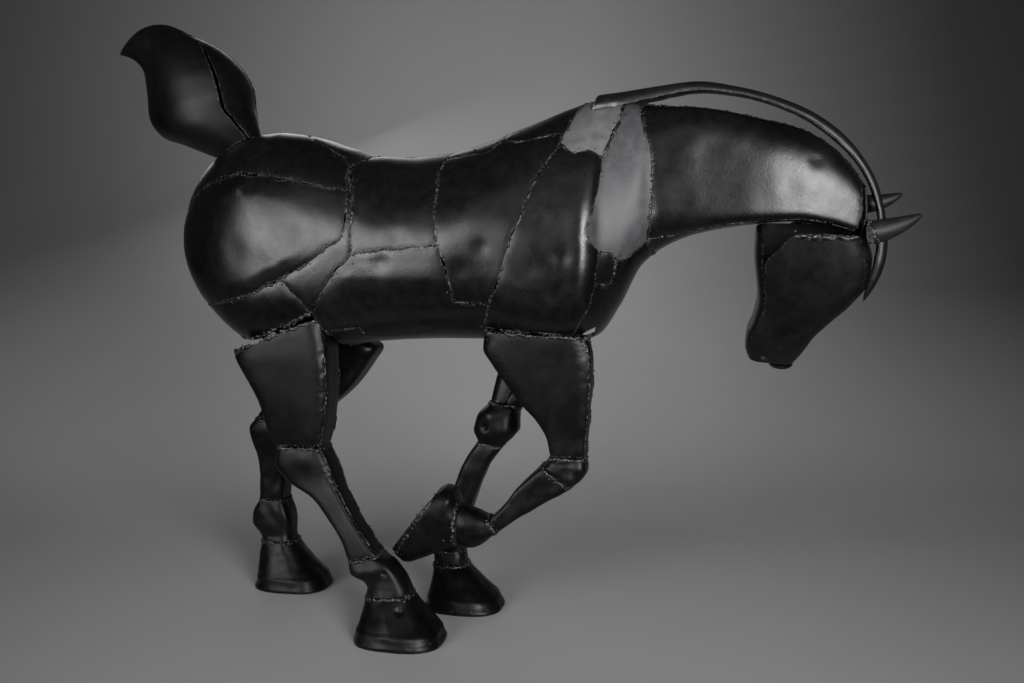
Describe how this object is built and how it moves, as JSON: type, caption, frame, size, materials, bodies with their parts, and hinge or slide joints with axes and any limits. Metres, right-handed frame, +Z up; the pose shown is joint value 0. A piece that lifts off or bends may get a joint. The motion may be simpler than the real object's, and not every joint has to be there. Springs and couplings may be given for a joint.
{
  "type": "sheet metal horse sculpture",
  "caption": "Standing horse of welded sheet-steel plates, head lowered, one foreleg lifted, arched mane strip and leaf-shaped tail.",
  "frame": {"origin": "middle of the bounding box in plan, on the ground under the hooves", "axes": "+X is the way the horse faces, +Z is up, its right side faces -Y"},
  "size_m": [1.4888, 0.3826, 1.1234],
  "materials": {
    "chest_plate": "satin black paint on hammered sheet steel",
    "croup_patch": "satin black paint on hammered sheet steel",
    "far_barrel_lower_plate": "satin black paint on hammered sheet steel",
    "far_barrel_upper_plate": "satin black paint on hammered sheet steel",
    "far_cheek_plate": "satin black paint on hammered sheet steel",
    "far_ear": "satin black paint on hammered sheet steel",
    "far_flank_strip": "satin black paint on hammered sheet steel",
    "far_fore_arm": "satin black paint on hammered sheet steel",
    "far_fore_cannon": "satin black paint on hammered sheet steel",
    "far_fore_hoof": "satin black paint on hammered sheet steel",
    "far_fore_knee": "satin black paint on hammered sheet steel",
    "far_fore_pastern": "satin black paint on hammered sheet steel",
    "far_hind_fetlock": "satin black paint on hammered sheet steel",
    "far_hind_hoof": "satin black paint on hammered sheet steel",
    "far_hind_shank": "satin black paint on hammered sheet steel",
    "far_hind_thigh": "satin black paint on hammered sheet steel",
    "far_neck_base_plate": "satin black paint on hammered sheet steel",
    "far_neck_side_plate": "satin black paint on hammered sheet steel",
    "far_rib_plate": "satin black paint on hammered sheet steel",
    "far_rump_plate": "satin black paint on hammered sheet steel",
    "far_shoulder_plate": "satin black paint on hammered sheet steel",
    "far_thigh_band": "satin black paint on hammered sheet steel",
    "forehead_plate": "satin black paint on hammered sheet steel",
    "groin_plate": "satin black paint on hammered sheet steel",
    "mane": "satin black paint on hammered sheet steel",
    "muzzle": "satin black paint on hammered sheet steel",
    "near_barrel_lower_plate": "satin black paint on hammered sheet steel",
    "near_barrel_upper_plate": "satin black paint on hammered sheet steel",
    "near_cheek_plate": "satin black paint on hammered sheet steel",
    "near_chest_patch": "satin black paint on hammered sheet steel",
    "near_ear": "satin black paint on hammered sheet steel",
    "near_flank_strip": "satin black paint on hammered sheet steel",
    "near_fore_arm_channel": "satin black paint on hammered sheet steel",
    "near_fore_arm_front_strip": "satin black paint on hammered sheet steel",
    "near_fore_cannon": "satin black paint on hammered sheet steel",
    "near_fore_fetlock": "satin black paint on hammered sheet steel",
    "near_fore_hoof": "satin black paint on hammered sheet steel",
    "near_fore_knee": "satin black paint on hammered sheet steel",
    "near_hind_fetlock": "satin black paint on hammered sheet steel",
    "near_hind_hoof": "satin black paint on hammered sheet steel",
    "near_hind_shank_channel": "satin black paint on hammered sheet steel",
    "near_hind_shank_front_strip": "satin black paint on hammered sheet steel",
    "near_hind_thigh_channel": "satin black paint on hammered sheet steel",
    "near_hind_thigh_front_strip": "satin black paint on hammered sheet steel",
    "near_neck_base_plate": "satin black paint on hammered sheet steel",
    "near_neck_side_plate": "satin black paint on hammered sheet steel",
    "near_rib_plate": "satin black paint on hammered sheet steel",
    "near_rump_side_plate": "satin black paint on hammered sheet steel",
    "near_rump_upper_plate": "satin black paint on hammered sheet steel",
    "near_shoulder_plate": "satin black paint on hammered sheet steel",
    "near_thigh_band": "satin black paint on hammered sheet steel",
    "near_withers_patch": "satin black paint on hammered sheet steel",
    "spine_strip_front": "satin black paint on hammered sheet steel",
    "spine_strip_rear": "satin black paint on hammered sheet steel",
    "tail_crest_leaf": "satin black paint on hammered sheet steel",
    "tail_far_leaf": "satin black paint on hammered sheet steel",
    "tail_near_leaf": "satin black paint on hammered sheet steel",
    "throat_plate": "satin black paint on hammered sheet steel",
    "throat_strip": "satin black paint on hammered sheet steel"
  },
  "bodies": {
    "root": {"chest_plate": "chest_plate", "croup_patch": "croup_patch", "far_barrel_lower_plate": "far_barrel_lower_plate", "far_barrel_upper_plate": "far_barrel_upper_plate", "far_cheek_plate": "far_cheek_plate", "far_ear": "far_ear", "far_flank_strip": "far_flank_strip", "far_fore_arm": "far_fore_arm", "far_fore_cannon": "far_fore_cannon", "far_fore_hoof": "far_fore_hoof", "far_fore_knee": "far_fore_knee", "far_fore_pastern": "far_fore_pastern", "far_hind_fetlock": "far_hind_fetlock", "far_hind_hoof": "far_hind_hoof", "far_hind_shank": "far_hind_shank", "far_hind_thigh": "far_hind_thigh", "far_neck_base_plate": "far_neck_base_plate", "far_neck_side_plate": "far_neck_side_plate", "far_rib_plate": "far_rib_plate", "far_rump_plate": "far_rump_plate", "far_shoulder_plate": "far_shoulder_plate", "far_thigh_band": "far_thigh_band", "forehead_plate": "forehead_plate", "groin_plate": "groin_plate", "mane": "mane", "muzzle": "muzzle", "near_barrel_lower_plate": "near_barrel_lower_plate", "near_barrel_upper_plate": "near_barrel_upper_plate", "near_cheek_plate": "near_cheek_plate", "near_chest_patch": "near_chest_patch", "near_ear": "near_ear", "near_flank_strip": "near_flank_strip", "near_fore_arm_channel": "near_fore_arm_channel", "near_fore_arm_front_strip": "near_fore_arm_front_strip", "near_fore_cannon": "near_fore_cannon", "near_fore_fetlock": "near_fore_fetlock", "near_fore_hoof": "near_fore_hoof", "near_fore_knee": "near_fore_knee", "near_hind_fetlock": "near_hind_fetlock", "near_hind_hoof": "near_hind_hoof", "near_hind_shank_channel": "near_hind_shank_channel", "near_hind_shank_front_strip": "near_hind_shank_front_strip", "near_hind_thigh_channel": "near_hind_thigh_channel", "near_hind_thigh_front_strip": "near_hind_thigh_front_strip", "near_neck_base_plate": "near_neck_base_plate", "near_neck_side_plate": "near_neck_side_plate", "near_rib_plate": "near_rib_plate", "near_rump_side_plate": "near_rump_side_plate", "near_rump_upper_plate": "near_rump_upper_plate", "near_shoulder_plate": "near_shoulder_plate", "near_thigh_band": "near_thigh_band", "near_withers_patch": "near_withers_patch", "spine_strip_front": "spine_strip_front", "spine_strip_rear": "spine_strip_rear", "tail_crest_leaf": "tail_crest_leaf", "tail_far_leaf": "tail_far_leaf", "tail_near_leaf": "tail_near_leaf", "throat_plate": "throat_plate", "throat_strip": "throat_strip"}
  },
  "joints": []
}
